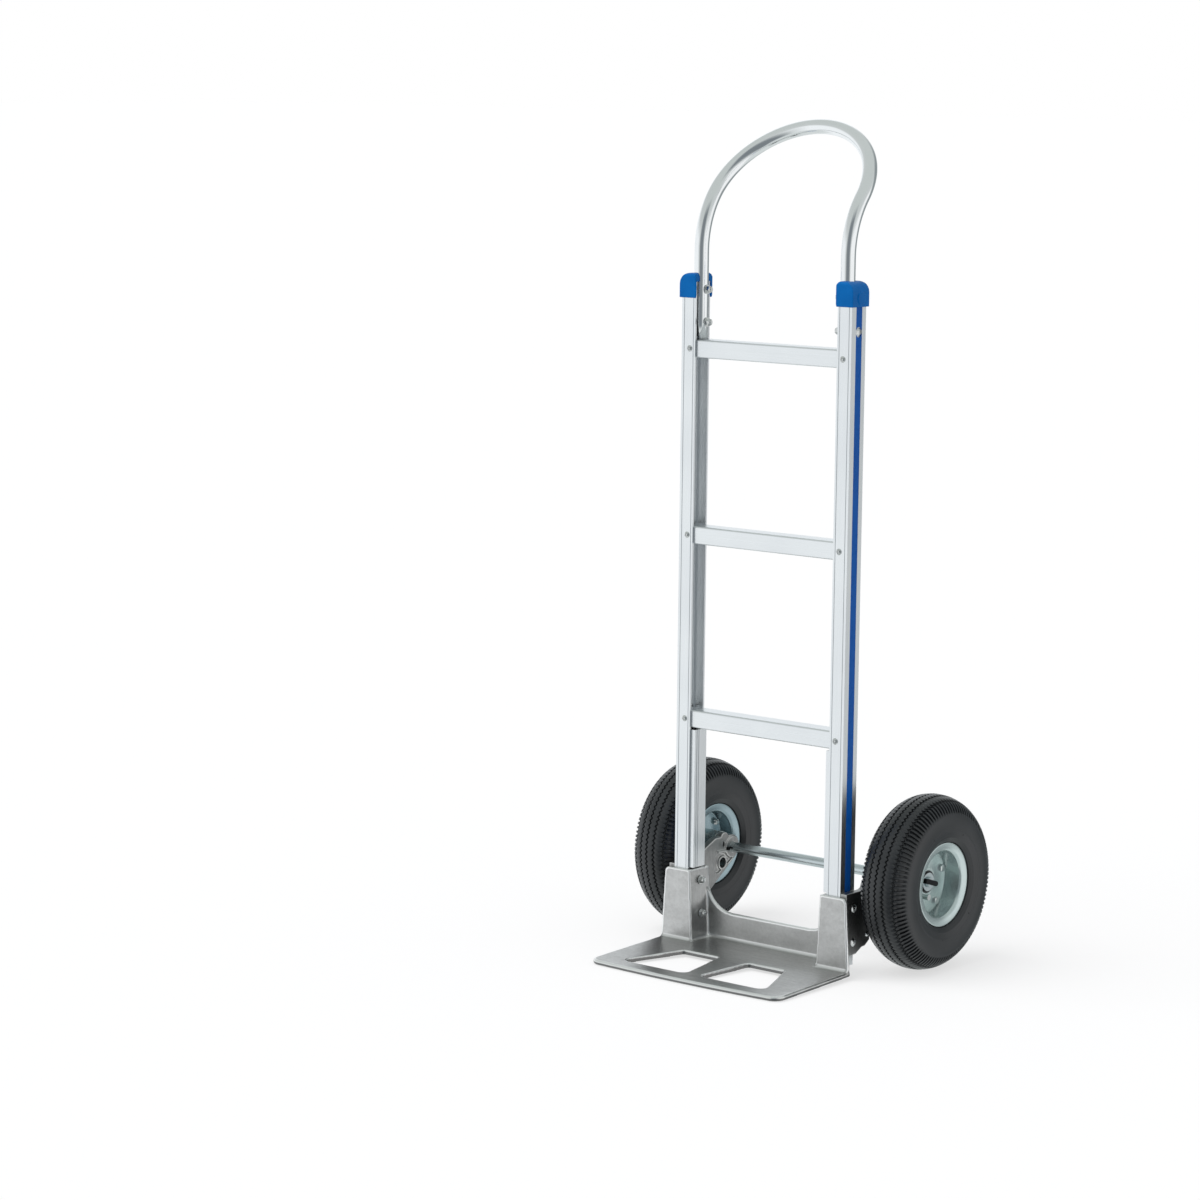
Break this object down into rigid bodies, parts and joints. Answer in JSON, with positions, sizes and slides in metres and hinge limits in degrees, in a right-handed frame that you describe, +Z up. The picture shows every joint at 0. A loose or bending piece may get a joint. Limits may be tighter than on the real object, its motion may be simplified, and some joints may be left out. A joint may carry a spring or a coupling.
{
  "type": "hand truck",
  "caption": "Upright two-wheeled hand truck: channel rails with cross bars, a leaning loop handle, a cast nose plate with windows, and air-filled wheels that spin on a fixed axle",
  "frame": {"origin": "bottom centre of the whole truck's box, on the floor, midway between the two rails", "axes": "+Z up along the rails; the nose plate points to -Y and the wheels stand behind on +Y; +X is to the right for someone who faces the nose plate, which is the truck's own left when it is pushed"},
  "size_m": [0.513, 0.4536, 1.2604],
  "materials": {
    "extrusion": "satin, as extruded",
    "tube": "satin, bright",
    "casting": "as cast, matte",
    "blue_plastic": "moulded, half gloss",
    "zinc_steel": "bright zinc plate",
    "axle_steel": "zinc plate with a blue tint",
    "rim_steel": "zinc plate, clear with a blue-green tint",
    "bearing_steel": "ground",
    "black_steel": "black oxide",
    "tyre_rubber": "matte",
    "tube_rubber": "matte"
  },
  "bodies": {
    "frame": {"rail_left": "extrusion", "rail_right": "extrusion", "trim_strip_left": "blue_plastic", "trim_strip_right": "blue_plastic", "rail_cap_left": "blue_plastic", "rail_cap_right": "blue_plastic", "crossbar_top": "extrusion", "crossbar_middle": "extrusion", "crossbar_bottom": "extrusion", "crossbar_screws": "zinc_steel", "handle_loop": "tube", "handle_bolts": "zinc_steel", "handle_nuts": "zinc_steel", "rail_stiffener_left": "extrusion", "rail_stiffener_right": "extrusion", "nose_plate": "casting", "nose_bolts": "zinc_steel", "nose_nuts": "zinc_steel", "wheel_bracket_left": "casting", "wheel_bracket_right": "casting", "axle": "axle_steel", "axle_set_screws": "black_steel", "axle_washers": "zinc_steel", "axle_clip_left": "black_steel", "axle_clip_right": "black_steel"},
    "wheel_left": {"tyre_left": "tyre_rubber", "inner_tube_left": "tube_rubber", "rim_outer_left": "rim_steel", "rim_inner_left": "rim_steel", "hub_left": "rim_steel", "bearings_left": "bearing_steel", "rim_bolts_left": "zinc_steel", "valve_left": "tube_rubber"},
    "wheel_right": {"tyre_right": "tyre_rubber", "inner_tube_right": "tube_rubber", "rim_outer_right": "rim_steel", "rim_inner_right": "rim_steel", "hub_right": "rim_steel", "bearings_right": "bearing_steel", "rim_bolts_right": "zinc_steel", "valve_right": "tube_rubber"}
  },
  "joints": [
    {"name": "wheel_left_spin", "type": "hinge", "parent": "frame", "child": "wheel_left", "pos_m": [-0.215, 0.09425, 0.1325], "axis": [1, 0, 0], "continuous": true},
    {"name": "wheel_right_spin", "type": "hinge", "parent": "frame", "child": "wheel_right", "pos_m": [0.215, 0.09425, 0.1325], "axis": [1, 0, 0], "continuous": true}
  ]
}
